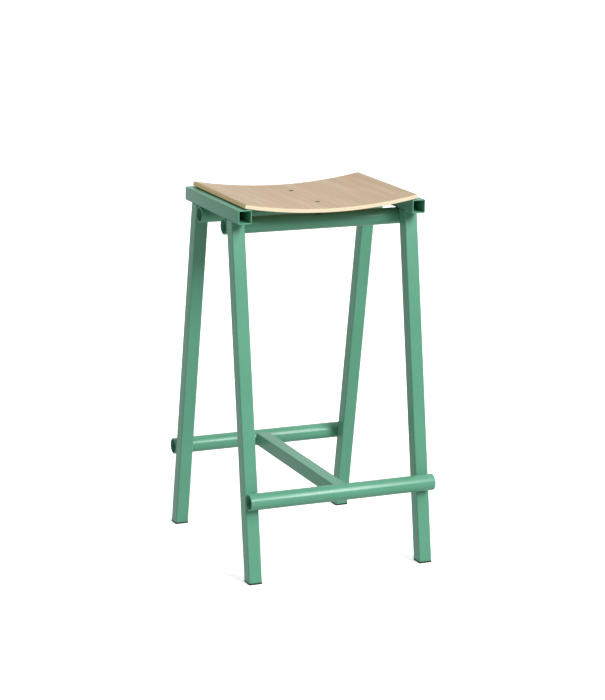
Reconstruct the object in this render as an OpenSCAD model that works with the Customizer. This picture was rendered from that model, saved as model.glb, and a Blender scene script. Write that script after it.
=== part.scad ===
// Counter-height stool: a welded frame of square and round steel tube, with a seat of
// moulded plywood that dips between two side rails.
// Millimetres. +Z is up, +X runs along the cross tubes, -Y is the front.
// The origin is on the floor, at the middle of the stool.

/* [Frame] */
// Height of the top faces of the side rails above the floor
rail_top_z = 661; // [541:2:801]
// Width over the outer faces of the two side rails
frame_w = 360; // [300:2:440]
// Depth over the outer faces of the legs where they meet the rails
leg_top_d = 196; // [160:1:240]
// Length of rail beyond the outer face of each leg, at the front and at the rear
rail_overhang = 32; // [8:1:60]
// Angle by which each leg leans outward, towards the front or the rear
splay = 9; // [5:0.5:12]
// Height of the centre of the foot tubes and of the stretcher
foot_z = 151; // [100:1:220]

/* [Square tube] */
// Side of the square tube of the rails, legs and stretcher
sq_side = 25; // [20:0.5:28]
// Wall of the square tube
sq_wall = 2; // [1.5:0.1:2.5]
// Outer corner radius of the square tube
sq_corner = 2.2; // [1.6:0.1:3]
// Inner corner radius of the square tube
sq_inner_corner = 0.4; // [0.2:0.1:1]

/* [Round tube] */
// Outside diameter of the seat tubes and the foot tubes
rd_dia = 30; // [28:0.5:36]
// Wall of the round tube
rd_wall = 2; // [1.5:0.1:2.5]

/* [Seat] */
// How far the underside of the seat hangs below the rail tops, at mid-width
seat_dip = 13.6; // [10:0.1:18]
// How far each end of the seat reaches over its rail
seat_bearing = 11.5; // [6:0.5:20]
// How far the front and rear edges of the seat lie inside the ends of the rails
seat_setback = 3; // [0:0.5:30]
// Thickness of the core plies together
core_t = 6.6; // [5:0.2:12]
// Thickness of each face veneer
veneer_t = 0.6; // [0.4:0.1:1]
// Rounding of the long edges at the front and the rear
seat_edge_r = 1.2; // [0.8:0.1:2.4]
// Gap between the underside and the rounded rail corners that it rests over
seat_rest_gap = 0.1; // [0.05:0.05:0.5]

/* [Seat fixing] */
// Diameter of the screw shank and of the thread in the rivet nut
screw_d = 5; // [4:0.5:6]
// Length of screw that passes below the rivet nut
screw_past_nut = 4; // [1:0.5:6]
// Diameter of the countersunk head
head_d = 9.5; // [8.5:0.5:12]
// Depth of the head below the surface of the seat
head_recess = 0.2; // [0:0.1:0.6]
// Height of the straight rim of the head, above its cone
head_land = 0.3; // [0.2:0.1:0.6]
// Width across the flats of the hexagon socket
socket_af = 3; // [2.5:0.5:4]
// Depth of the hexagon socket
socket_depth = 1.9; // [1.2:0.1:2.4]
// Clearance on the diameter where the screw passes through a piece
screw_clear = 0.6; // [0.3:0.1:1.2]
// Diameter of the spacer between seat tube and seat
spacer_d = 18; // [14:1:24]
// Outside diameter of the rivet nut where it passes through the tube wall
nut_d = 7; // [7:0.5:9]
// Length of the rivet nut below its flange
nut_len = 12; // [9:0.5:14]
// Diameter of the rivet nut's flange
nut_flange_d = 10; // [9.5:0.5:12]
// Thickness of the rivet nut's flange
nut_flange_t = 1; // [0.6:0.1:1.4]
// Width of the rivet nut's crushed collar beyond its body
nut_collar = 1.2; // [0.8:0.1:1.6]
// Height of that collar
nut_collar_h = 3; // [2:0.5:4]
// Clearance between the flange and the pocket for it in the spacer
pocket_clear = 0.2; // [0.1:0.05:0.4]

/* [Glides] */
// Thickness of the pad under each leg
glide_t = 2.8; // [2:0.2:5]
// Overhang of the pad beyond the outside of the tube
glide_lip = 0.4; // [0:0.1:1]
// Length of the plug that holds the glide in the leg
plug_len = 16; // [10:1:24]
// Clearance between the plug and each inner face of the tube
plug_clear = 0.15; // [0.05:0.05:0.4]
// Wall of the hollow plug
plug_wall = 2; // [1.5:0.5:4]
// Corner radius of the plug
plug_corner = 0.5; // [0.3:0.1:1.5]

/* [Welds] */
// Leg length of the fillet beads
bead = 2.2; // [1.5:0.1:3]
// How far a bead beside a round tube reaches from the line where tube and flat face touch
bead_reach = 7; // [5:0.5:8]
// Distance that the straight beads stop short of each side of the square tube
bead_inset = 2.5; // [2:0.5:5]

/* [Hidden] */

// Sides and ends, as signs along X and Y
LEFT = -1;
RIGHT = 1;
FRONT = -1;
REAR = 1;

// Fineness of small round shapes, of tubes and of the long curve of the seat
FN_SMALL = 48;
FN_TUBE = 96;
FN_SEAT = 720;

// Amount by which a cutter runs past the face that it cuts
OVER = 1;

STEEL_GREEN = "#6cab8f";
PLASTIC_BLACK = "#15201c";
OAK = "#cfb593";
BIRCH = "#f0e0c2";
SCREW_BLACK = "#2a2623";
ZINC = "#b9bcc0";

// Rails
rail_under_z = rail_top_z - sq_side;
rail_len = leg_top_d + 2 * rail_overhang;
rail_x = frame_w / 2 - sq_side / 2;
rail_inner_x = frame_w / 2 - sq_side;

// Depth of a leg's section, cut level
leg_cut_d = sq_side / cos(splay);
// Distance of a leg's outer face from the middle plane, at height z
function leg_outer_y(z) = leg_top_d / 2 + (rail_under_z - z) * tan(splay);
// Distance of a leg's inner face from the middle plane, at height z
function leg_inner_y(z) = leg_outer_y(z) - leg_cut_d;

// Seat tubes: each touches the underside of the rails and the inner faces of two legs
rd_r = rd_dia / 2;
crest_z = rail_under_z;
seat_tube_z = crest_z - rd_r;
seat_tube_y = leg_inner_y(seat_tube_z) - rd_r / cos(splay);

// Foot tubes: each touches the outer faces of two legs
foot_tube_y = leg_outer_y(foot_z) + rd_r / cos(splay);

// Seat: its underside is an arc about an axis along Y. The arc passes seat_dip below the
// rail tops at mid-width, and just clears the rounded inner corner of each rail.
seat_t = core_t + 2 * veneer_t;
seat_under_z = rail_top_z - seat_dip;
seat_top_z = seat_under_z + seat_t;
corner_x = rail_inner_x + sq_corner;
corner_drop = sq_corner - seat_dip;
corner_reach = sq_corner + seat_rest_gap;
seat_r = (pow(corner_x, 2) + pow(corner_drop, 2) - pow(corner_reach, 2))
    / (2 * (corner_reach - corner_drop));
seat_axis_z = seat_under_z + seat_r;
seat_half_angle = asin((rail_inner_x + seat_bearing) / seat_r);
seat_depth = rail_len - 2 * seat_setback;

// Seat fixing
head_top_z = seat_top_z - head_recess;
head_cone_h = (head_d - screw_d) / 2;
screw_len = head_top_z - crest_z + nut_len + screw_past_nut;

// Square with rounded corners
module rounded_square(side, radius) {
    square([side - 2 * radius, side], center = true);
    square([side, side - 2 * radius], center = true);
    for (x = [-1, 1], y = [-1, 1])
        translate([x * (side / 2 - radius), y * (side / 2 - radius)])
            circle(r = radius, $fn = FN_SMALL);
}

// Square tube along Z, centred on the origin
module square_tube(length) {
    linear_extrude(length, center = true)
        difference() {
            rounded_square(sq_side, sq_corner);
            rounded_square(sq_side - 2 * sq_wall, sq_inner_corner);
        }
}

// Turns a flat outline drawn in Y and Z into a bar along X, centred on the origin
module bar_along_x(length) {
    rotate([90, 0, 90]) linear_extrude(length, center = true) children();
}

// Round tube over the full width of the frame
module round_tube() {
    bar_along_x(frame_w)
        difference() {
            circle(d = rd_dia, $fn = FN_TUBE);
            circle(d = rd_dia - 2 * rd_wall, $fn = FN_TUBE);
        }
}

// Side rail, with open ends
module rail(side) {
    color(STEEL_GREEN)
        translate([side * rail_x, 0, rail_top_z - sq_side / 2])
            rotate([90, 0, 0])
                square_tube(rail_len);
}

// Puts its children on the axis of a leg: their Z runs along the leg, and their origin is
// where that axis meets the floor
module on_leg(side, end) {
    axis_y = leg_outer_y(0) - leg_cut_d / 2;
    translate([side * rail_x, end * axis_y, 0])
        rotate([end * splay, 0, 0])
            children();
}

// Everything between two heights
module slab(z_low, z_high) {
    reach = frame_w + leg_outer_y(0);
    translate([-reach, -reach, z_low])
        cube([2 * reach, 2 * reach, z_high - z_low]);
}

// Leg, cut level under the rail and above the glide
module leg(side, end) {
    color(STEEL_GREEN)
        intersection() {
            on_leg(side, end) square_tube(3 * rail_top_z);
            slab(glide_t, rail_under_z);
        }
}

// Cross tube in the corner between rails and legs, drilled for the rivet nut
module seat_tube(end) {
    color(STEEL_GREEN)
        translate([0, end * seat_tube_y, seat_tube_z])
            difference() {
                round_tube();
                cylinder(h = rd_r + OVER, d = nut_d, $fn = FN_SMALL);
            }
}

// Cross tube on the outer faces of the legs, as a foot rest
module foot_tube(end) {
    color(STEEL_GREEN)
        translate([0, end * foot_tube_y, foot_z])
            round_tube();
}

// Stretcher between the foot tubes, with its ends coped to them
module centre_stretcher() {
    color(STEEL_GREEN)
        difference() {
            translate([0, 0, foot_z])
                rotate([90, 0, 0])
                    square_tube(2 * foot_tube_y);
            for (end = [FRONT, REAR])
                translate([0, end * foot_tube_y, foot_z])
                    bar_along_x(2 * sq_side)
                        circle(d = rd_dia, $fn = FN_TUBE);
        }
}

// Glide: a pad under the end of the leg, and a hollow plug inside it
module glide(side, end) {
    plug = sq_side - 2 * sq_wall - 2 * plug_clear;
    color(PLASTIC_BLACK) {
        intersection() {
            on_leg(side, end)
                linear_extrude(4 * sq_side, center = true)
                    rounded_square(sq_side + 2 * glide_lip, sq_corner + glide_lip);
            slab(0, glide_t);
        }
        intersection() {
            on_leg(side, end)
                linear_extrude(4 * (glide_t + plug_len), center = true)
                    difference() {
                        rounded_square(plug, plug_corner);
                        square(plug - 2 * plug_wall, center = true);
                    }
            slab(glide_t, glide_t + plug_len);
        }
    }
}

// Outside of a seat screw, larger by grow on the diameter. Its head is at the origin and
// it points down.
module screw_body(length, grow) {
    shank_d = screw_d + grow;
    rim_d = head_d + grow;
    translate([0, 0, -length]) cylinder(h = length, d = shank_d, $fn = FN_SMALL);
    translate([0, 0, -head_land]) cylinder(h = head_land, d = rim_d, $fn = FN_SMALL);
    translate([0, 0, -head_land - head_cone_h])
        cylinder(h = head_cone_h, d1 = shank_d, d2 = rim_d, $fn = FN_SMALL);
}

// Puts its children at the head of the front or rear seat screw
module at_screw(end) {
    translate([0, end * seat_tube_y, head_top_z]) children();
}

// Hole for a seat screw, open above its head
module screw_hole(end) {
    at_screw(end) {
        screw_body(screw_len + OVER, screw_clear);
        translate([0, 0, -head_land])
            cylinder(h = head_land + seat_t, d = head_d + screw_clear, $fn = FN_SMALL);
    }
}

// Cross-section of one layer of the seat, as radius and depth. The corners of the whole
// seat are rounded, and a layer has its share of that rounding.
module layer_section(r_in, r_out) {
    r_top = seat_r - seat_t;
    half_depth = seat_depth / 2;
    intersection() {
        translate([r_in, -half_depth]) square([r_out - r_in, seat_depth]);
        union() {
            translate([r_top, -half_depth + seat_edge_r])
                square([seat_t, seat_depth - 2 * seat_edge_r]);
            translate([r_top + seat_edge_r, -half_depth])
                square([seat_t - 2 * seat_edge_r, seat_depth]);
            for (r = [r_top + seat_edge_r, seat_r - seat_edge_r], y = [-1, 1])
                translate([r, y * (half_depth - seat_edge_r)])
                    circle(r = seat_edge_r, $fn = FN_SMALL);
        }
    }
}

// Layer of the seat between two radii, with the holes for the screws
module seat_layer(r_in, r_out) {
    difference() {
        translate([0, 0, seat_axis_z])
            rotate([90, 0, 0])
                rotate([0, 0, -90 - seat_half_angle])
                    rotate_extrude(angle = 2 * seat_half_angle, $fn = FN_SEAT)
                        layer_section(r_in, r_out);
        for (end = [FRONT, REAR]) screw_hole(end);
    }
}

module seat_core() {
    color(BIRCH) seat_layer(seat_r - seat_t + veneer_t, seat_r - veneer_t);
}

module seat_veneer_top() {
    color(OAK) seat_layer(seat_r - seat_t, seat_r - seat_t + veneer_t);
}

module seat_veneer_bottom() {
    color(OAK) seat_layer(seat_r - veneer_t, seat_r);
}

// Spacer: saddled onto the seat tube, with a pocket for the rivet nut's flange, and cut to
// the curve of the seat
module seat_spacer(end) {
    color(PLASTIC_BLACK)
        difference() {
            translate([0, end * seat_tube_y, seat_tube_z])
                cylinder(h = seat_top_z - seat_tube_z, d = spacer_d, $fn = FN_TUBE);
            translate([0, end * seat_tube_y, seat_tube_z])
                bar_along_x(2 * spacer_d)
                    circle(d = rd_dia, $fn = FN_TUBE);
            translate([0, end * seat_tube_y, seat_tube_z])
                cylinder(h = rd_r + nut_flange_t + pocket_clear,
                         d = nut_flange_d + 2 * pocket_clear, $fn = FN_SMALL);
            translate([0, 0, seat_axis_z])
                rotate([90, 0, 0])
                    cylinder(h = 2 * seat_depth, r = seat_r, center = true, $fn = FN_SEAT);
            screw_hole(end);
        }
}

// Countersunk screw with a hexagon socket
module seat_screw(end) {
    color(SCREW_BLACK)
        at_screw(end)
            difference() {
                screw_body(screw_len, 0);
                translate([0, 0, -socket_depth])
                    cylinder(h = socket_depth + OVER, d = socket_af / cos(30), $fn = 6);
            }
}

// Rivet nut in the top of a seat tube. Its collar is crushed up to the curved inside of the
// wall, which it meets first along its two edges.
module rivet_nut(end) {
    collar_r = nut_d / 2 + nut_collar;
    bore_r = rd_r - rd_wall;
    collar_top = rd_r - sqrt(bore_r * bore_r - collar_r * collar_r);
    color(ZINC)
        translate([0, end * seat_tube_y, crest_z])
            difference() {
                union() {
                    cylinder(h = nut_flange_t, d = nut_flange_d, $fn = FN_SMALL);
                    translate([0, 0, -nut_len]) cylinder(h = nut_len, d = nut_d, $fn = FN_SMALL);
                    translate([0, 0, -collar_top - nut_collar_h])
                        cylinder(h = nut_collar_h, r = collar_r, $fn = FN_SMALL);
                }
                translate([0, 0, -nut_len - OVER])
                    cylinder(h = nut_len + nut_flange_t + 2 * OVER, d = screw_d, $fn = FN_SMALL);
            }
}

// Length of the straight beads, which lie on the flat of a square tube
bead_len = sq_side - 2 * bead_inset;

// Beads where the outer face of each leg meets the underside of its rail
module leg_top_welds() {
    color(STEEL_GREEN)
        for (side = [LEFT, RIGHT], end = [FRONT, REAR])
            translate([side * rail_x, 0, rail_under_z])
                bar_along_x(bead_len)
                    polygon([
                        [end * leg_outer_y(rail_under_z), 0],
                        [end * (leg_outer_y(rail_under_z) + bead), 0],
                        [end * leg_outer_y(rail_under_z - bead), -bead]
                    ]);
}

// Outline of a bead in the narrowing gap between a round tube and a flat face that it
// touches: the tube is centred on the origin, the face is at x = rd_r, and the bead is
// towards +Y
module flare_bead() {
    face_gap = rd_r - sqrt(rd_r * rd_r - bead_reach * bead_reach);
    root = bead_reach / 2;
    belly = bead / 4;
    difference() {
        polygon([
            [rd_r, root],
            [rd_r - face_gap / 2, root],
            [rd_r - face_gap - bead / 2, bead_reach + belly],
            [rd_r, bead_reach]
        ]);
        circle(d = rd_dia, $fn = FN_TUBE);
    }
}

// Flare bead over the legs of one side: the tube's axis is at y and z, towards is the
// direction from it to the flat face, and flip is 1 for a bead on the other side
module flare_bead_at(side, y, z, towards, flip) {
    translate([side * rail_x, y, z])
        bar_along_x(bead_len)
            rotate(towards)
                mirror([0, flip])
                    flare_bead();
}

// Beads between each seat tube, the rails above it and the legs beside it
module seat_tube_welds() {
    color(STEEL_GREEN)
        for (side = [LEFT, RIGHT], end = [FRONT, REAR]) {
            y = end * seat_tube_y;
            to_leg = end == REAR ? splay : 180 - splay;
            flare_bead_at(side, y, seat_tube_z, 90, end == REAR ? 0 : 1);
            flare_bead_at(side, y, seat_tube_z, to_leg, end == REAR ? 1 : 0);
        }
}

// Beads above and below each foot tube, on the outer faces of the legs
module foot_tube_welds() {
    color(STEEL_GREEN)
        for (side = [LEFT, RIGHT], end = [FRONT, REAR], flip = [0, 1]) {
            to_leg = end == REAR ? 180 + splay : -splay;
            flare_bead_at(side, end * foot_tube_y, foot_z, to_leg, flip);
        }
}

// Beads round one coped end of the stretcher: a curved one on each side, which follows the
// foot tube, and a straight one above and below. The foot tube's axis is at the origin, and
// the stretcher is towards +Y.
module cope_welds() {
    half = sq_side / 2;
    wrap = asin(min((half - sq_corner) / rd_r, 1));
    meet = sqrt(max(rd_r * rd_r - half * half, 0));
    climb = 12;
    top_angle = asin(min(half / rd_r, 1)) + climb;
    for (side = [LEFT, RIGHT])
        translate([side * half, 0, 0])
            rotate([0, side * 90, 0])
                rotate([0, 0, 90 - wrap])
                    rotate_extrude(angle = 2 * wrap, $fn = FN_TUBE)
                        translate([rd_r, 0])
                            polygon([[0, 0], [bead, 0], [0, bead]]);
    for (flip = [0, 1])
        bar_along_x(bead_len)
            mirror([0, flip])
                difference() {
                    polygon([
                        [meet, half],
                        [meet + 1.5 * bead, half],
                        [rd_r * cos(top_angle), rd_r * sin(top_angle)]
                    ]);
                    circle(d = rd_dia, $fn = FN_TUBE);
                }
}

module stretcher_welds() {
    color(STEEL_GREEN)
        for (end = [FRONT, REAR])
            translate([0, end * foot_tube_y, foot_z])
                mirror([0, end == REAR ? 1 : 0, 0])
                    cope_welds();
}

rail(LEFT);  // rail_left
rail(RIGHT);  // rail_right
leg(LEFT, FRONT);  // leg_front_left
leg(RIGHT, FRONT);  // leg_front_right
leg(LEFT, REAR);  // leg_rear_left
leg(RIGHT, REAR);  // leg_rear_right
seat_tube(FRONT);  // seat_tube_front
seat_tube(REAR);  // seat_tube_rear
foot_tube(FRONT);  // foot_tube_front
foot_tube(REAR);  // foot_tube_rear
centre_stretcher();
glide(LEFT, FRONT);  // glide_front_left
glide(RIGHT, FRONT);  // glide_front_right
glide(LEFT, REAR);  // glide_rear_left
glide(RIGHT, REAR);  // glide_rear_right
seat_core();
seat_veneer_top();
seat_veneer_bottom();
seat_spacer(FRONT);  // seat_spacer_front
seat_spacer(REAR);  // seat_spacer_rear
seat_screw(FRONT);  // seat_screw_front
seat_screw(REAR);  // seat_screw_rear
rivet_nut(FRONT);  // rivet_nut_front
rivet_nut(REAR);  // rivet_nut_rear
leg_top_welds();
seat_tube_welds();
foot_tube_welds();
stretcher_welds();
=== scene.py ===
import math

import bmesh
import bpy
from mathutils import Matrix, Vector


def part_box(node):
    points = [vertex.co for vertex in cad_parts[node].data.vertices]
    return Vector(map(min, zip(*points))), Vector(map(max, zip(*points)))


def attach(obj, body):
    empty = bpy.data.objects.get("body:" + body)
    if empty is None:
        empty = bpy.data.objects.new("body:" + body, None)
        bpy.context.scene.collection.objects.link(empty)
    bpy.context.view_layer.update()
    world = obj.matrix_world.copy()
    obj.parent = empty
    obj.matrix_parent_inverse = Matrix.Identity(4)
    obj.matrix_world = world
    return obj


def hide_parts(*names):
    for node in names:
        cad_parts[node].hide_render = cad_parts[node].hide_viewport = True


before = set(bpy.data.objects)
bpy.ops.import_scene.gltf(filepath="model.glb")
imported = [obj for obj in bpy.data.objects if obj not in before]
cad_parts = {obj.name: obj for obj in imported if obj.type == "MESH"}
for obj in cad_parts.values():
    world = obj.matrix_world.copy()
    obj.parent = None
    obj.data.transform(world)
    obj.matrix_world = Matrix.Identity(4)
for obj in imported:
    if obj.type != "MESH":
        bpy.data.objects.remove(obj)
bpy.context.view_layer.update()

MM = 0.001
SIDES = {"left": -1, "right": 1}
ENDS = {"front": -1, "rear": 1}


# ---------------------------------------------------------------- sizes

# What the boxes of the frame don't give
SPLAY = math.radians(9)
SQUARE_WALL = 2 * MM
SQUARE_CORNER = 2.2 * MM
SQUARE_INNER_CORNER = 0.4 * MM
ROUND_WALL = 2 * MM
RIM = 0.45 * MM             # rounding that the coat gives a sawn tube end
BURIED = 0.1 * MM           # how far a tube end runs into the tube that it is welded to

VENEER = 0.6 * MM
CORE_PLIES = 5
SEAT_LONG_EDGE = 1.2 * MM   # rounding of the front and rear edges
SEAT_SHORT_EDGE = 0.5 * MM  # rounding of the left and right edges
SCREW_HOLE = 5.05 * MM      # radius round the screw head
SHANK_HOLE = 2.8 * MM       # radius round the screw shank
HOLE_RIM = 0.5 * MM         # depth of the straight wall above a hole's cone
HOLE_BREAK = 0.12 * MM      # width of its broken top edge

# What they do give
rail_low, rail_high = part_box("rail_right")
square = rail_high.x - rail_low.x
rail_x = (rail_low.x + rail_high.x) / 2
rail_length = rail_high.y - rail_low.y
rail_z = (rail_low.z + rail_high.z) / 2

leg_low, leg_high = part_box("leg_rear_right")
leg_depth = square / math.cos(SPLAY)
leg_lean = math.tan(SPLAY)

seat_tube_low, seat_tube_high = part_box("seat_tube_rear")
seat_tube_y = (seat_tube_low.y + seat_tube_high.y) / 2
seat_tube_z = (seat_tube_low.z + seat_tube_high.z) / 2

foot_tube_low, foot_tube_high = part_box("foot_tube_rear")
foot_tube_y = (foot_tube_low.y + foot_tube_high.y) / 2
foot_tube_z = (foot_tube_low.z + foot_tube_high.z) / 2
round_radius = (foot_tube_high.z - foot_tube_low.z) / 2
tube_length = foot_tube_high.x - foot_tube_low.x

glide_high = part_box("glide_rear_right")[1]
glide_lip = glide_high.x - leg_high.x
pad_top = leg_low.z

screw_low, screw_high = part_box("seat_screw_rear")
screw_radius = (screw_high.x - screw_low.x) / 2


def leg_outer(z):
    """Distance of a leg's outer face from the middle plane, at height z."""
    return leg_high.y - (z - leg_low.z) * leg_lean


# ---------------------------------------------------------------- outlines

FLAT_HOLD = 0.25 * MM        # from each end of a flat to the point that keeps it looking flat


def rounded_square(side, radius, arc_steps=6, flat_steps=1):
    """Closed outline of a square with round corners."""
    reach = side / 2 - radius
    outline = []
    for corner in range(4):
        start = corner * math.pi / 2
        middle = Vector((
            math.copysign(reach, math.cos(start + math.pi / 4)),
            math.copysign(reach, math.sin(start + math.pi / 4)),
        ))
        for step in range(arc_steps + 1):
            angle = start + step * math.pi / 2 / arc_steps
            outline.append(middle + radius * Vector((math.cos(angle), math.sin(angle))))
        along = Vector((-math.sin(start + math.pi / 2), math.cos(start + math.pi / 2)))
        first = outline[-1]
        flat = 2 * reach
        outline.append(first + FLAT_HOLD * along)
        for step in range(1, flat_steps):
            outline.append(first + flat * step / flat_steps * along)
        outline.append(first + (flat - FLAT_HOLD) * along)
    return outline


def circle(radius, steps=64):
    return [
        radius * Vector((math.cos(turn), math.sin(turn)))
        for turn in (2 * math.pi * step / steps for step in range(steps))
    ]


def quarter(radius, steps=4):
    """Pairs of inset and offset along a quarter round, from its side to its end."""
    if not radius:
        return [(0, 0)]
    turns = (math.pi / 2 * step / steps for step in range(steps + 1))
    return [(radius * (1 - math.cos(turn)), radius * (1 - math.sin(turn))) for turn in turns]


# ---------------------------------------------------------------- meshes

def skin(mesh, rings, closed=False):
    """Adds a skin over rings of points. A closed skin goes from the last ring back to the
    first, and an open one is capped at both ends."""
    loops = [[mesh.verts.new(point) for point in ring] for ring in rings]
    pairs = list(zip(loops, loops[1:]))
    if closed:
        pairs.append((loops[-1], loops[0]))
    else:
        mesh.faces.new(reversed(loops[0]))
        mesh.faces.new(loops[-1])
    for low, high in pairs:
        count = len(low)
        for i in range(count):
            j = (i + 1) % count
            mesh.faces.new((low[i], low[j], high[j], high[i]))


def tube_skin(mesh, outer, inner, low, high, place):
    """Adds a tube with rounded ends. outer and inner give its outlines for an inset, low and
    high are each a position along it and a rim radius, and place puts a point of an outline
    at a position."""
    def rim(outline, sign, end, inward):
        position, radius = end
        return [
            [place(point, position + inward * offset) for point in outline(sign * inset)]
            for inset, offset in quarter(radius)
        ]

    outside = rim(outer, 1, low, 1)[::-1] + rim(outer, 1, high, -1)
    inside = rim(inner, -1, high, -1)[::-1] + rim(inner, -1, low, 1)
    skin(mesh, outside + inside, closed=True)


def make_object(name, mesh, sharp=35):
    """Object of a finished bmesh, smooth but for edges sharper than an angle in degrees."""
    bmesh.ops.recalc_face_normals(mesh, faces=mesh.faces)
    data = bpy.data.meshes.new(name)
    mesh.to_mesh(data)
    mesh.free()
    data.shade_smooth()
    data.set_sharp_from_angle(angle=math.radians(sharp))
    made = bpy.data.objects.new(name, data)
    bpy.context.scene.collection.objects.link(made)
    return made


def add_piece(name, mesh, material, *nodes, sharp=35):
    """Makes a piece that rides on the stool and stands for the CAD nodes given."""
    made = make_object(name, mesh, sharp)
    made.data.materials.append(material)
    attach(made, "root")
    if nodes:
        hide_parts(*nodes)
    return made


# ---------------------------------------------------------------- materials

class Graph:
    """Nodes of a new material, added and linked by short calls. Its slot is one of the
    record's, except for the backdrop's."""

    def __init__(self, slot):
        self.material = bpy.data.materials.new("fine_" + slot)
        self.material["slot"] = slot
        self.material.use_nodes = True
        self.tree = self.material.node_tree
        self.shader = self.tree.nodes["Principled BSDF"]

    def add(self, kind, sockets=None, **settings):
        """Adds a node. A socket's value may be a number, a colour or another node's output."""
        made = self.tree.nodes.new("ShaderNode" + kind)
        for key, value in settings.items():
            setattr(made, key, value)
        self.fill(made, sockets or {})
        return made

    def fill(self, made, sockets):
        for key, value in sockets.items():
            if isinstance(value, bpy.types.NodeSocket):
                self.tree.links.new(value, made.inputs[key])
            else:
                made.inputs[key].default_value = value

    def place(self, scale=(1, 1, 1)):
        """Place on the object, in metres, stretched by scale."""
        where = self.add("TexCoord").outputs["Object"]
        return self.add("Mapping", {"Vector": where, "Scale": scale}).outputs["Vector"]

    def noise(self, place, scale, detail=2, roughness=0.5, distortion=0):
        return self.add("TexNoise", {
            "Vector": place, "Scale": scale, "Detail": detail,
            "Roughness": roughness, "Distortion": distortion,
        }).outputs["Fac"]

    def math(self, operation, *values, clamp=False):
        made = self.add("Math", operation=operation, use_clamp=clamp)
        self.fill(made, dict(enumerate(values)))
        return made.outputs[0]

    def spread(self, value, low, high, to_low=0, to_high=1):
        """Maps the stretch from low to high onto another, and holds it there."""
        return self.add("MapRange", {
            "Value": value, "From Min": low, "From Max": high, "To Min": to_low, "To Max": to_high,
        }).outputs["Result"]

    def blend(self, share, first, second, kind="MIX"):
        """Colour that goes from first to second as share goes from 0 to 1."""
        made = self.add("Mix", data_type="RGBA", blend_type=kind)
        self.fill(made, {0: share, 6: first, 7: second})
        return made.outputs[2]

    def bump(self, height, distance, normal=None):
        sockets = {"Height": height, "Distance": distance, "Strength": 1}
        if normal:
            sockets["Normal"] = normal
        return self.add("Bump", sockets).outputs["Normal"]

    def finish(self, **shader):
        """Sets the shader's sockets, named with underscores for spaces."""
        self.fill(self.shader, {key.replace("_", " "): value for key, value in shader.items()})
        return self.material


def colour(red, green, blue):
    """Linear colour, with alpha, from 8-bit sRGB levels."""
    def linear(level):
        level /= 255
        return level / 12.92 if level <= 0.04045 else ((level + 0.055) / 1.055) ** 2.4
    return (linear(red), linear(green), linear(blue), 1)


def powder_coat():
    """Satin green polyester coat: a faint orange peel, and clouds of slightly thicker coat."""
    graph = Graph("green_powder_coat")
    place = graph.place()
    cloud = graph.spread(graph.noise(place, 9, 3), 0.35, 0.65)
    tone = graph.blend(cloud, colour(86, 151, 122), colour(91, 156, 127))
    speck = graph.spread(graph.noise(place, 2600, 1), 0.6, 0.75, 0, 0.1)
    tone = graph.blend(speck, tone, colour(150, 195, 175))
    peel = graph.noise(place, 420, 2, 0.4)
    grit = graph.noise(place, 2200, 1)
    relief = graph.bump(peel, 0.014 * MM, graph.bump(grit, 0.003 * MM))
    return graph.finish(
        Base_Color=tone,
        Roughness=graph.spread(peel, 0.3, 0.7, 0.27, 0.33),
        Normal=relief,
        IOR=1.46,
    )


def black_plastic():
    """Matt moulded polyethylene with a spark-eroded grain."""
    graph = Graph("black_plastic")
    place = graph.place()
    grain = graph.noise(place, 1800, 3, 0.6)
    scuff = graph.spread(graph.noise(graph.place((1, 1, 4)), 160, 4, 0.7), 0.55, 0.75)
    return graph.finish(
        Base_Color=graph.blend(scuff, colour(17, 25, 22), colour(32, 40, 37)),
        Roughness=graph.spread(grain, 0.3, 0.7, 0.5, 0.68),
        Normal=graph.bump(grain, 0.02 * MM),
        IOR=1.5,
    )


def oak_face(graph, pale, dark, pore):
    """Colour and height of an oak face whose grain runs from front to rear."""
    drift = graph.noise(graph.place((2.2, 0.5, 1)), 3.2, 2)
    figure = graph.noise(graph.place((1, 0.06, 1)), 75, 4, 0.55, 0.35)
    band = graph.noise(graph.place((1, 0.025, 1)), 210, 3, 0.6)
    streak = graph.noise(graph.place((1, 0.022, 1)), 520, 3, 0.6)
    vessel = graph.noise(graph.place((1, 0.05, 1)), 2300, 2, 0.5)
    tone = graph.blend(graph.spread(figure, 0.32, 0.68), pale, dark)
    tone = graph.blend(graph.spread(drift, 0.3, 0.7, 0, 0.35), tone, colour(199, 177, 147))
    tone = graph.blend(graph.spread(band, 0.45, 0.65, 0, 0.5), tone, dark)
    tone = graph.blend(graph.spread(streak, 0.45, 0.75, 0, 0.5), tone, dark)
    pores = graph.math("MULTIPLY",
                       graph.spread(vessel, 0.58, 0.68),
                       graph.spread(figure, 0.35, 0.6, 0.35, 1))
    tone = graph.blend(graph.math("MULTIPLY", pores, 0.5), tone, pore)
    return tone, pores, streak


def oak_veneer():
    """Clear-lacquered oak veneer."""
    graph = Graph("oak_veneer")
    tone, pores, streak = oak_face(
        graph, colour(196, 172, 140), colour(173, 145, 110), colour(138, 110, 80))
    height = graph.math("SUBTRACT", graph.math("MULTIPLY", streak, 0.4), pores)
    return graph.finish(
        Base_Color=tone,
        Roughness=graph.spread(streak, 0.3, 0.7, 0.38, 0.48),
        Normal=graph.bump(height, 0.03 * MM),
        IOR=1.48,
    )


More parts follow.
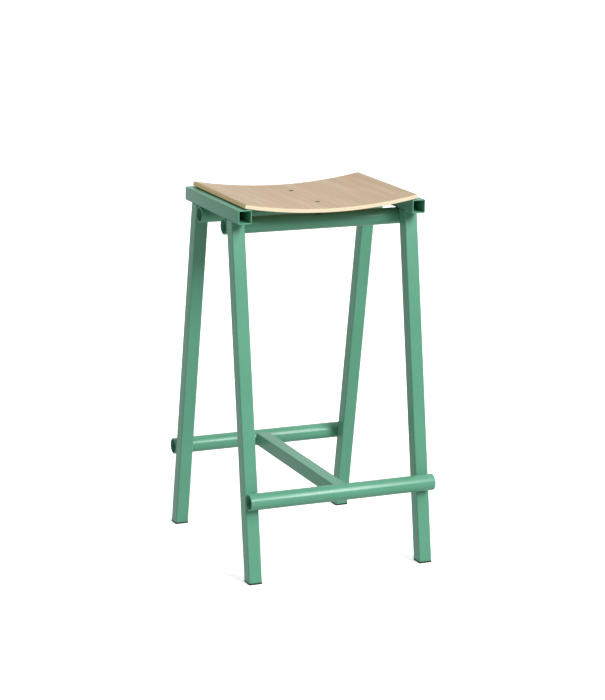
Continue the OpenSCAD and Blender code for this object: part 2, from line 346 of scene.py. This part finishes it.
def core_plies(axis_z, top_radius, thickness):
    """Edges of the birch plies, which bend round the seat's axis. Where one ply shows its
    end grain, the next shows its long grain."""
    graph = Graph("core_plies")
    place = graph.place()
    parts = graph.add("SeparateXYZ", {"Vector": place}).outputs
    above = graph.math("SUBTRACT", axis_z, parts["Z"])
    radius = graph.math("SQRT", graph.math(
        "ADD", graph.math("POWER", parts["X"], 2), graph.math("POWER", above, 2)))
    count = graph.math("MULTIPLY", graph.math("SUBTRACT", radius, top_radius), CORE_PLIES / thickness)
    odd = graph.math("PINGPONG", graph.math("FLOOR", count), 1)
    part = graph.math("FRACT", count)
    glue = graph.math("SUBTRACT", 1, graph.spread(
        graph.math("PINGPONG", part, 0.5), 0.02, 0.09), clamp=True)
    facing = graph.add("SeparateXYZ", {"Vector": graph.add("NewGeometry").outputs["Normal"]})
    at_front = graph.math("GREATER_THAN", graph.math("ABSOLUTE", facing.outputs["Y"]), 0.5)
    end_grain = graph.math("ABSOLUTE", graph.math("SUBTRACT", odd, at_front))
    long_streak = graph.noise(graph.place((0.08, 0.08, 1)), 900, 3, 0.6)
    speckle = graph.noise(place, 1900, 2, 0.6)
    long_tone = graph.blend(long_streak, colour(243, 232, 209), colour(234, 219, 190))
    end_tone = graph.blend(speckle, colour(236, 221, 190), colour(221, 201, 164))
    tone = graph.blend(end_grain, long_tone, end_tone)
    # Painted shade: the left and right edges are multiplied by a darker, yellower tint than the front
    # and rear edges. It stands partly for their shade and partly for a warmer tone of the wood.
    tone = graph.blend(at_front, graph.blend(1, tone, colour(255, 243, 206), "MULTIPLY"), tone)
    tone = graph.blend(graph.math("MULTIPLY", glue, 0.35), tone, colour(186, 156, 116))
    return graph.finish(
        Base_Color=tone,
        Roughness=0.7,
        Normal=graph.bump(graph.math("SUBTRACT", speckle, glue), 0.03 * MM),
        IOR=1.48,
    )


def black_screw():
    """Dull black coat on steel, a little uneven."""
    graph = Graph("black_screw")
    place = graph.place()
    rub = graph.noise(place, 500, 3, 0.5)
    return graph.finish(
        Base_Color=graph.blend(rub, colour(24, 21, 20), colour(38, 34, 31)),
        Roughness=graph.spread(rub, 0.3, 0.7, 0.6, 0.5),
        Normal=graph.bump(rub, 0.004 * MM),
        Specular_IOR_Level=0.35,
    )


def zinc_nut():
    """Bright zinc plate with a faint yellow cast."""
    graph = Graph("zinc_nut")
    place = graph.place()
    cast = graph.noise(place, 500, 3, 0.6)
    return graph.finish(
        Base_Color=graph.blend(cast, colour(190, 192, 196), colour(200, 196, 180)),
        Metallic=1.0,
        Roughness=graph.spread(cast, 0.3, 0.7, 0.28, 0.4),
        Normal=graph.bump(cast, 0.01 * MM),
    )


# ---------------------------------------------------------------- frame of tubes

def square_outer(inset, flat_steps=1):
    return rounded_square(square - 2 * inset, SQUARE_CORNER - inset, flat_steps=flat_steps)


def square_inner(inset, flat_steps=1):
    """Inside of the square tube. An inset below 0 widens it."""
    side = square - 2 * SQUARE_WALL - 2 * inset
    return rounded_square(side, SQUARE_INNER_CORNER - min(inset, 0), flat_steps=flat_steps)


def round_outer(inset):
    return circle(round_radius - inset)


def round_inner(inset):
    return circle(round_radius - ROUND_WALL - inset)


def make_rails(coat):
    for name, side in SIDES.items():
        mesh = bmesh.new()
        half = rail_length / 2

        def place(point, y):
            return Vector((side * rail_x + point.x, y, rail_z + point.y))

        tube_skin(mesh, square_outer, square_inner, (-half, RIM), (half, RIM), place)
        add_piece("rail_tube_" + name, mesh, coat, "rail_" + name)


def on_leg(side, end, point, z):
    """Place of a point of a square tube's outline, at height z on one leg."""
    middle = leg_outer(z) - leg_depth / 2
    return Vector((side * rail_x + point.x, end * middle + point.y / math.cos(SPLAY), z))


def make_legs(coat):
    """Legs, cut level under the rails and over the glides."""
    for end_name, end in ENDS.items():
        for side_name, side in SIDES.items():
            mesh = bmesh.new()

            def place(point, z):
                return on_leg(side, end, point, z)

            tube_skin(mesh, square_outer, square_inner, (leg_low.z, RIM), (leg_high.z, BURIED), place)
            name = f"{end_name}_{side_name}"
            add_piece("leg_tube_" + name, mesh, coat, "leg_" + name)


def make_cross_tubes(coat):
    """Round tubes: two under the seat, and two on the legs as foot rests."""
    half = tube_length / 2
    for kind, away, height in (("seat", seat_tube_y, seat_tube_z), ("foot", foot_tube_y, foot_tube_z)):
        for name, end in ENDS.items():
            mesh = bmesh.new()

            def place(point, x):
                return Vector((x, end * away + point.x, height + point.y))

            tube_skin(mesh, round_outer, round_inner, (-half, RIM), (half, RIM), place)
            add_piece(f"{kind}_cross_tube_{name}", mesh, coat, f"{kind}_tube_{name}")


def make_stretcher(coat):
    """Stretcher between the foot tubes, with each end cut to their curve."""
    steps = 10

    def outer(inset):
        return square_outer(inset, steps)

    def inner(inset):
        return square_inner(inset, steps)

    def place(point, share):
        reach = foot_tube_y + BURIED - math.sqrt(round_radius ** 2 - point.y ** 2)
        return Vector((point.x, share * reach, foot_tube_z + point.y))

    mesh = bmesh.new()
    tube_skin(mesh, outer, inner, (-1, 0), (1, 0), place)
    add_piece("stretcher_tube", mesh, coat, "centre_stretcher")


# ---------------------------------------------------------------- welds

BEAD_LENGTH = 20 * MM
BEAD_PITCH = 1.9 * MM       # from one drop of metal to the next
BEAD_RIPPLE = 0.05          # how much a drop swells, as a share of the section
BEAD_END = 0.15             # size of the section at the very end of a bead, as a share
TAPER_DROPS = 1.2           # drops over which it tapers
FILLET_LEG = 2 * MM
FILLET_BULGE = 0.25 * MM
FLARE_REACH = 6.6 * MM
FLARE_BULGE = 0.3 * MM
STRETCHER_LEG = 1.9 * MM


def bead_rings(section, place, length=BEAD_LENGTH):
    """Rings of a weld bead: its section swells and shrinks with each drop of metal, and
    tapers to each end. place puts a point of the section at a distance along the bead."""
    per_drop = 6
    count = round(length / BEAD_PITCH) * per_drop
    rings = []
    for step in range(count + 1):
        share = step / count
        ripple = 1 + BEAD_RIPPLE * math.sin(2 * math.pi * step / per_drop)
        from_end = min(share, 1 - share) * length / (TAPER_DROPS * BEAD_PITCH)
        taper = math.sqrt(1 - (1 - min(from_end, 1)) ** 2) * (1 - BEAD_END) + BEAD_END
        rings.append([place(point * ripple * taper, (share - 0.5) * length) for point in section])
    return rings


def fillet_section(leg, bulge):
    """Section of a bead in the corner between two walls, along which X and Y run."""
    ends = Vector((leg, 0)), Vector((0, leg))
    steps = 6
    face = []
    for step in range(steps + 1):
        share = step / steps
        out = bulge * math.sin(math.pi * share)
        face.append(ends[0].lerp(ends[1], share) + out * Vector((1, 1)).normalized())
    return [Vector((0, 0))] + face


def flare_section(reach, bulge):
    """Section of a bead between a flat face, along X, and the round tube that touches it
    at the origin."""
    gap = round_radius - math.sqrt(round_radius ** 2 - reach ** 2)
    root = 0.6 * reach
    root_gap = round_radius - math.sqrt(round_radius ** 2 - root ** 2)
    steps = 5
    face = []
    for step in range(steps + 1):
        share = step / steps
        face.append(Vector((reach + bulge * math.sin(math.pi * share), gap * share)))
    return [Vector((root, 0.2 * root_gap))] + face + [Vector((root, 0.8 * root_gap))]


def make_straight_welds(coat):
    """Beads that run across the square tubes: at the leg tops, and beside the seat tubes
    and foot tubes."""
    fillet = fillet_section(FILLET_LEG, FILLET_BULGE)
    flare = flare_section(FLARE_REACH, FLARE_BULGE)
    down = Vector((0, 0, -1))
    leg_tops = bmesh.new()
    seat_beads = bmesh.new()
    foot_beads = bmesh.new()
    for side in SIDES.values():
        for end in ENDS.values():
            outward = Vector((0, end, 0))
            down_leg = Vector((0, end * math.sin(SPLAY), -math.cos(SPLAY)))
            off_leg = Vector((0, end * math.cos(SPLAY), math.sin(SPLAY)))

            def run(mesh, section, root, along_x, along_y):
                def place(point, distance):
                    across = root + point.x * along_x + point.y * along_y
                    return across + Vector((side * rail_x + distance, 0, 0))
                skin(mesh, bead_rings(section, place))

            corner = Vector((0, end * leg_outer(leg_high.z), leg_high.z))
            run(leg_tops, fillet, corner, outward, down_leg)

            seat_axis = Vector((0, end * seat_tube_y, seat_tube_z))
            under_rail = seat_axis - round_radius * down
            run(seat_beads, flare, under_rail, -outward, down)
            inside_leg = seat_axis + round_radius * off_leg
            run(seat_beads, flare, inside_leg, down_leg, -off_leg)

            foot_axis = Vector((0, end * foot_tube_y, foot_tube_z))
            on_leg_face = foot_axis - round_radius * off_leg
            run(foot_beads, flare, on_leg_face, down_leg, off_leg)
            run(foot_beads, flare, on_leg_face, -down_leg, off_leg)
    add_piece("leg_top_beads", leg_tops, coat, "leg_top_welds", sharp=60)
    add_piece("seat_tube_beads", seat_beads, coat, "seat_tube_welds", sharp=60)
    add_piece("foot_tube_beads", foot_beads, coat, "foot_tube_welds", sharp=60)


def make_stretcher_welds(coat):
    """Beads round the ends of the stretcher: one on each side, which follows the round
    tube, and one above and below."""
    section = fillet_section(STRETCHER_LEG, FILLET_BULGE)
    half = square / 2
    wrap = math.asin((half - SQUARE_CORNER) / round_radius)
    lift = math.asin(half / round_radius)
    mesh = bmesh.new()
    for end in ENDS.values():
        for side in SIDES.values():
            def beside(point, distance):
                turn = distance / round_radius
                reach = round_radius + point.x
                return Vector((
                    side * (half + point.y),
                    end * (foot_tube_y - reach * math.cos(turn)),
                    foot_tube_z + reach * math.sin(turn),
                ))
            skin(mesh, bead_rings(section, beside, 2 * wrap * round_radius))
        for up in (-1, 1):
            def over(point, distance):
                turn = lift + point.y / round_radius
                back = round_radius * math.cos(turn) + point.x
                return Vector((
                    distance,
                    end * (foot_tube_y - back),
                    foot_tube_z + up * round_radius * math.sin(turn),
                ))
            skin(mesh, bead_rings(section, over))
    add_piece("stretcher_beads", mesh, coat, "stretcher_welds", sharp=60)


# ---------------------------------------------------------------- glides

PAD_EDGE = 0.5 * MM         # rounding of a pad's lower edge
PAD_TOP_EDGE = 0.25 * MM
PLUG_CLEAR = 0.15 * MM      # between a plug and the wall of the leg
PLUG_WALL = 2 * MM
PLUG_CORNER = 0.8 * MM
PLUG_INNER_CORNER = 0.6 * MM
PLUG_FOOT_EDGE = 0.1 * MM
PLUG_TOP_EDGE = 0.4 * MM


def pad_outline(inset):
    side = square + 2 * glide_lip
    return rounded_square(side - 2 * inset, SQUARE_CORNER + glide_lip - inset)


def plug_outer(inset):
    side = square - 2 * SQUARE_WALL - 2 * PLUG_CLEAR
    return rounded_square(side - 2 * inset, PLUG_CORNER - min(inset, PLUG_TOP_EDGE))


def plug_inner(inset):
    side = square - 2 * SQUARE_WALL - 2 * PLUG_CLEAR - 2 * PLUG_WALL
    return rounded_square(side - 2 * inset, PLUG_INNER_CORNER)


def make_glides(plastic):
    """Glides: a pad with softened edges, and a hollow plug up inside the leg."""
    foot = (pad_top, PLUG_FOOT_EDGE)
    top = (glide_high.z, PLUG_TOP_EDGE)
    for end_name, end in ENDS.items():
        for side_name, side in SIDES.items():
            def place(point, z):
                return on_leg(side, end, point, z)

            mesh = bmesh.new()
            rings = []
            for inset, offset in reversed(quarter(PAD_EDGE)):
                rings.append([place(point, offset) for point in pad_outline(inset)])
            for inset, offset in quarter(PAD_TOP_EDGE):
                rings.append([place(point, pad_top - offset) for point in pad_outline(inset)])
            skin(mesh, rings)
            tube_skin(mesh, plug_outer, plug_inner, foot, top, place)
            name = f"{end_name}_{side_name}"
            add_piece("glide_cap_" + name, mesh, plastic, "glide_" + name)


# ---------------------------------------------------------------- seat

top_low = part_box("seat_veneer_top")[0]
under_low, under_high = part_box("seat_veneer_bottom")
core_low, core_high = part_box("seat_core")
seat_top = top_low.z + VENEER
thickness = seat_top - under_low.z
seat_depth = core_high.y - core_low.y


def under_arc():
    """Radius and half angle of the seat's underside, from the box of the bottom veneer."""
    rise = under_high.z - under_low.z
    turn = 0
    for _ in range(20):
        sagitta = rise - VENEER * math.cos(turn)
        radius = (under_high.x ** 2 + sagitta ** 2) / (2 * sagitta)
        turn = math.asin(under_high.x / radius)
    return radius, turn


under_radius, half_turn = under_arc()
top_radius = under_radius - thickness
axis_z = under_low.z + under_radius


def rounding(depth, radius):
    """How far a rounded edge is set back, at a depth below the top of the seat."""
    from_face = min(depth, thickness - depth)
    if from_face >= radius:
        return 0
    return radius - math.sqrt(radius ** 2 - (radius - from_face) ** 2)


def hole_radius(depth):
    """Radius of a countersunk hole at a depth, with its top edge just broken."""
    broken = max(HOLE_BREAK - depth, 0)
    cone = max(SCREW_HOLE - max(depth - HOLE_RIM, 0), SHANK_HOLE)
    return cone + broken


def spaced(low, high, pitch):
    """Evenly spaced places from low up to, but without, high."""
    count = max(1, round((high - low) / pitch))
    return [low + (high - low) * step / count for step in range(count)]


def grid_lines(limit, holes, half_patch, pitch):
    """Lines of a grid from -limit to limit, with 8 steps across the patch round each hole."""
    lines = []
    start = -limit
    for middle in holes:
        lines += spaced(start, middle - half_patch, pitch)
        lines += spaced(middle - half_patch, middle + half_patch, half_patch / 4)
        start = middle + half_patch
    return lines + spaced(start, limit, pitch) + [limit]


PATCH = 8 * MM              # half the width of the patch of the grid round a hole
PITCH = 8 * MM              # of the grid's lines elsewhere
JUST_OVER = 1.001           # takes in the lines at the edge of a patch
HOLE_RINGS = (0.35, 0.7, 1)  # rings of faces from the edge of a patch, 0, to its hole, 1
hole_places = (-seat_tube_y, seat_tube_y)
turn_lines = grid_lines(half_turn, (0,), PATCH / under_radius, PITCH / under_radius)
y_lines = grid_lines(seat_depth / 2, hole_places, PATCH, PITCH)


def on_seat(turn, y, depth):
    """Place in the seat at an angle along its curve and a depth below its top."""
    radius = top_radius + depth
    return Vector((radius * math.sin(turn), y, axis_z - radius * math.cos(turn)))


def on_circle(turn, y, middle, radius):
    """Point of a circle round a hole, in the direction of a point of the grid."""
    away = Vector((turn * under_radius, y - middle)).normalized() * radius
    return away.x / under_radius, middle + away.y


def set_in(lines, inset):
    """The lines with the first and the last one moved inward."""
    return [lines[0] + inset] + lines[1:-1] + [lines[-1] - inset]


def lines_at(depth, groove=0):
    """The grid's lines at a depth, where the seat's edges are rounded and may be grooved."""
    turns = set_in(turn_lines, (rounding(depth, SEAT_SHORT_EDGE) + groove) / under_radius)
    ys = set_in(y_lines, rounding(depth, SEAT_LONG_EDGE) + groove)
    return turns, ys


def walk_round(turns, ys):
    """The outermost points of a grid, in order."""
    return (
        [(turn, ys[0]) for turn in turns[:-1]]
        + [(turns[-1], y) for y in ys[:-1]]
        + [(turn, ys[-1]) for turn in turns[:0:-1]]
        + [(turns[0], y) for y in ys[:0:-1]]
    )


def patch_edge(middle):
    """The outermost points of the patch round a hole, in order."""
    turns = [turn for turn in turn_lines if abs(turn) <= JUST_OVER * PATCH / under_radius]
    ys = [y for y in y_lines if abs(y - middle) <= JUST_OVER * PATCH]
    return walk_round(turns, ys)


def seat_loops(depth, groove):
    """Edge of the seat, and of each of its holes, as loops of places at one depth."""
    around = walk_round(*lines_at(depth, groove))
    loops = [[on_seat(turn, y, depth) for turn, y in around]]
    radius = hole_radius(depth)
    for middle in hole_places:
        circles = [on_circle(turn, y, middle, radius) for turn, y in patch_edge(middle)]
        loops.append([on_seat(turn, y, depth) for turn, y in circles])
    return loops


def seat_sheet(mesh, depth):
    """Adds the face of a layer at one depth. Returns its loops of vertices, as seat_loops."""
    turns, ys = lines_at(depth)
    radius = hole_radius(depth)
    grid = {}

    def vertex(turn, y):
        if (turn, y) not in grid:
            grid[turn, y] = mesh.verts.new(on_seat(turn, y, depth))
        return grid[turn, y]

    def in_patch(turn, y):
        return abs(turn) < PATCH / under_radius and any(abs(y - m) < PATCH for m in hole_places)

    for turn_a, turn_b in zip(turns, turns[1:]):
        for y_a, y_b in zip(ys, ys[1:]):
            if not in_patch((turn_a + turn_b) / 2, (y_a + y_b) / 2):
                corners = ((turn_a, y_a), (turn_b, y_a), (turn_b, y_b), (turn_a, y_b))
                mesh.faces.new([vertex(turn, y) for turn, y in corners])
    loops = [[vertex(turn, y) for turn, y in walk_round(turns, ys)]]
    for middle in hole_places:
        around = patch_edge(middle)
        ring = [vertex(turn, y) for turn, y in around]
        for share in HOLE_RINGS:
            inner = []
            for turn, y in around:
                hole_turn, hole_y = on_circle(turn, y, middle, radius)
                inner.append(mesh.verts.new(on_seat(
                    turn + share * (hole_turn - turn), y + share * (hole_y - y), depth)))
            bridge(mesh, ring, inner)
            ring = inner
        loops.append(ring)
    return loops


def bridge(mesh, first, second):
    count = len(first)
    for i in range(count):
        j = (i + 1) % count
        mesh.faces.new((first[i], first[j], second[j], second[i]))


def make_seat_layer(name, material, node, depths):
    """A layer of the seat. depths are pairs of a depth and how deep the edge is grooved
    there, from the layer's top face to its bottom face."""
    mesh = bmesh.new()
    above = seat_sheet(mesh, depths[0][0])
    for depth, groove in depths[1:-1]:
        below = [[mesh.verts.new(point) for point in loop] for loop in seat_loops(depth, groove)]
        for first, second in zip(above, below):
            bridge(mesh, first, second)
        above = below
    for first, second in zip(above, seat_sheet(mesh, depths[-1][0])):
        bridge(mesh, first, second)
    add_piece(name, mesh, material, node)


# Depths into the seat from a face at which its edge has a line
VENEER_LINES = [depth * MM for depth in (0, 0.03, 0.08, 0.16, 0.3)] + [VENEER]
CORE_LINES = (0.8 * MM, 1.2 * MM)
CORE_MIDDLE_LINE = 2.75 * MM
GROOVE_DEPTH = 0.06 * MM
GROOVE_HALF = 0.07 * MM


def make_seat(oak, birch):
    """The seat's two face veneers and, between them, its core plies, with a fine groove
    in the edge at each glue line."""
    make_seat_layer("seat_top_face", oak, "seat_veneer_top", [(depth, 0) for depth in VENEER_LINES])
    make_seat_layer("seat_bottom_face", oak, "seat_veneer_bottom",
                    [(thickness - depth, 0) for depth in reversed(VENEER_LINES)])
    core = {CORE_MIDDLE_LINE: 0}
    for depth in (VENEER, *CORE_LINES):
        core[depth] = core[thickness - depth] = 0
    ply = (thickness - 2 * VENEER) / CORE_PLIES
    for count in range(1, CORE_PLIES):
        glue = VENEER + count * ply
        core.update({glue - GROOVE_HALF: 0, glue: GROOVE_DEPTH, glue + GROOVE_HALF: 0})
    make_seat_layer("seat_plies", birch, "seat_core", sorted(core.items()))


# ---------------------------------------------------------------- screws

SCREW_SHANK = 2.5 * MM      # radius
HEAD_LAND = 0.3 * MM        # height of the head's straight rim
HEAD_EDGE = 0.1 * MM
SOCKET_ACROSS = 3 * MM      # across the flats
SOCKET_DEPTH = 1.9 * MM
SOCKET_EDGE = 0.12 * MM     # depth of the socket's broken edge
SOCKET_FLARE = 1.08         # size of the socket at that edge, as a share
SOCKET_RING = 0.72          # radius of a circle round the socket, as a share of its width
THREAD_PITCH = 0.8 * MM
THREAD_DEPTH = 0.3 * MM
THREAD_LENGTH = 16 * MM


def screw_ring(radius_at, z):
    """Ring of points round a screw's axis, where radius_at gives the radius at an angle."""
    steps = 48
    turns = [2 * math.pi * step / steps for step in range(steps)]
    return [
        Vector((radius_at(turn) * math.cos(turn), radius_at(turn) * math.sin(turn), z))
        for turn in turns
    ]


def round_ring(radius, z):
    return screw_ring(lambda turn: radius, z)


def thread_ring(z):
    def radius_at(turn):
        phase = (z / THREAD_PITCH - turn / (2 * math.pi)) % 1
        return SCREW_SHANK - THREAD_DEPTH * abs(2 * phase - 1)
    return screw_ring(radius_at, z)


def socket_ring(scale, z):
    """Ring of the hexagon socket, at a scale."""
    sixth = math.pi / 3
    flat = scale * SOCKET_ACROSS / 2
    return screw_ring(lambda turn: flat / math.cos((turn + sixth / 2) % sixth - sixth / 2), z)


def screw_rings():
    """Rings of a screw from its tip to the floor of its socket. Its head's top is at 0."""
    tip = screw_low.z - screw_high.z
    per_turn = 4
    rings = [round_ring(SCREW_SHANK - 2 * THREAD_DEPTH, tip)]
    for step in range(1, round(THREAD_LENGTH / THREAD_PITCH) * per_turn + 1):
        rings.append(thread_ring(tip + step * THREAD_PITCH / per_turn))
    return rings + [
        round_ring(SCREW_SHANK, tip + THREAD_LENGTH + THREAD_PITCH),
        round_ring(SCREW_SHANK, SCREW_SHANK - screw_radius - HEAD_LAND),
        round_ring(screw_radius, -HEAD_LAND),
        round_ring(screw_radius, -HEAD_EDGE),
        round_ring(screw_radius - HEAD_EDGE, 0),
        round_ring(SOCKET_RING * SOCKET_ACROSS, 0),
        socket_ring(SOCKET_FLARE, 0),
        socket_ring(1, -SOCKET_EDGE),
        socket_ring(1, -SOCKET_DEPTH),
    ]


def make_screws(steel):
    """Countersunk screws with a hexagon socket, and a thread on the lower half."""
    rings = screw_rings()
    for name, end in ENDS.items():
        head = Vector((0, end * seat_tube_y, screw_high.z))
        mesh = bmesh.new()
        skin(mesh, [[head + point for point in ring] for ring in rings])
        add_piece("socket_screw_" + name, mesh, steel, "seat_screw_" + name, sharp=30)


# ---------------------------------------------------------------- the object

coat = powder_coat()
plastic = black_plastic()
make_rails(coat)
make_legs(coat)
make_cross_tubes(coat)
make_stretcher(coat)
make_straight_welds(coat)
make_stretcher_welds(coat)
make_glides(plastic)
make_seat(oak_veneer(), core_plies(axis_z, top_radius + VENEER, thickness - 2 * VENEER))
make_screws(black_screw())

nut_steel = zinc_nut()
for end_name in ENDS:
    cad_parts["seat_spacer_" + end_name].data.materials[0] = plastic
    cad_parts["rivet_nut_" + end_name].data.materials[0] = nut_steel


# ---------------------------------------------------------------- stage, light and camera

CAMERA_AZIMUTH = math.radians(-23.642)
CAMERA_ELEVATION = math.radians(13.839)
CAMERA_ROLL = math.radians(0.946)
CAMERA_DISTANCE = 4.2967
CAMERA_TARGET = Vector((0.00193, 0, 0.3681))
CAMERA_LENS = 120.27


def direction(azimuth, elevation):
    """Direction from the stool, where azimuth 0 is the front and turns to the right."""
    level = math.cos(elevation)
    return Vector((math.sin(azimuth) * level, -math.cos(azimuth) * level, math.sin(elevation)))


def looking(place, target, roll=0):
    """Placement of a camera or lamp at a place, aimed at a target."""
    back = (place - target).normalized()
    right = Vector((0, 0, 1)).cross(back).normalized()
    axes = Matrix((right, back.cross(right), back)).transposed()
    return Matrix.Translation(place) @ axes.to_4x4() @ Matrix.Rotation(roll, 4, "Z")


def add_camera():
    camera = bpy.data.objects.new("camera", bpy.data.cameras.new("camera"))
    bpy.context.scene.collection.objects.link(camera)
    camera.data.lens = CAMERA_LENS
    camera.data.sensor_width = 36
    camera.data.clip_end = 100
    place = CAMERA_TARGET + CAMERA_DISTANCE * direction(CAMERA_AZIMUTH, CAMERA_ELEVATION)
    camera.matrix_world = looking(place, CAMERA_TARGET, CAMERA_ROLL)
    bpy.context.scene.camera = camera


def add_lamp(name, azimuth, elevation, spread, strength):
    """Distant soft lamp. Its azimuth, elevation and width as seen from the stool are in
    degrees."""
    lamp = bpy.data.objects.new(name, bpy.data.lights.new(name, "SUN"))
    bpy.context.scene.collection.objects.link(lamp)
    lamp.data.angle = math.radians(spread)
    lamp.data.energy = strength
    away = direction(math.radians(azimuth), math.radians(elevation))
    lamp.matrix_world = looking(CAMERA_TARGET + away, CAMERA_TARGET)


BACKDROP_REACH = 30
BACKDROP_BEND = 5
BACKDROP_TOP = 20


def add_backdrop():
    """Pale floor that turns up into a wall far off on every side. Only the camera sees it,
    because the lower half of the sky stands for its glow."""
    turns = [math.pi / 2 * step / 8 for step in range(9)]
    profile = [
        (BACKDROP_REACH - BACKDROP_BEND * (1 - math.sin(turn)), BACKDROP_BEND * (1 - math.cos(turn)))
        for turn in turns
    ] + [(BACKDROP_REACH, BACKDROP_TOP)]
    mesh = bmesh.new()
    skin(mesh, [
        [point.to_3d() + Vector((0, 0, z)) for point in circle(radius, 96)] for radius, z in profile
    ])
    lid = max(mesh.faces, key=lambda face: face.calc_center_median().z)
    bmesh.ops.delete(mesh, geom=[lid], context="FACES_ONLY")
    backdrop = make_object("backdrop", mesh)
    graph = Graph("pale_floor")
    backdrop.data.materials.append(graph.finish(
        Base_Color=colour(242, 242, 241),
        Roughness=0.9,
        Specular_IOR_Level=0.1,
        Emission_Color=(1, 1, 1, 1),
        Emission_Strength=0.5,
    ))
    backdrop.visible_diffuse = False
    backdrop.visible_glossy = False
    backdrop.visible_shadow = False


def add_sky(front, rear, below):
    """Soft light from all round. The values are its strength in front, behind and below."""
    world = bpy.data.worlds.new("studio")
    world.use_nodes = True
    nodes = world.node_tree.nodes
    join = world.node_tree.links.new
    towards = nodes.new("ShaderNodeSeparateXYZ")
    join(nodes.new("ShaderNodeTexCoord").outputs["Generated"], towards.inputs[0])

    def ramp(axis, width, low, high):
        made = nodes.new("ShaderNodeMapRange")
        join(towards.outputs[axis], made.inputs["Value"])
        made.inputs["From Min"].default_value = -width
        made.inputs["From Max"].default_value = width
        made.inputs["To Min"].default_value = low
        made.inputs["To Max"].default_value = high
        return made

    rise = ramp("Z", 0.08, below, 0)
    above = ramp("Y", 0.3, front, rear)
    join(above.outputs[0], rise.inputs["To Max"])
    join(rise.outputs[0], nodes["Background"].inputs["Strength"])
    nodes["Background"].inputs["Color"].default_value = (1, 1, 1, 1)
    bpy.context.scene.world = world


add_camera()
add_backdrop()
add_sky(0.14, 0.8, 0.65)
add_lamp("key_lamp", 26, 34, 22, 2.5)
add_lamp("high_lamp", 38, 51, 14, 0.85)
add_lamp("right_lamp", 80, 42, 30, 0.3)
add_lamp("front_lamp", -8, 32, 30, 0.25)
bpy.context.scene.view_settings.view_transform = "Standard"
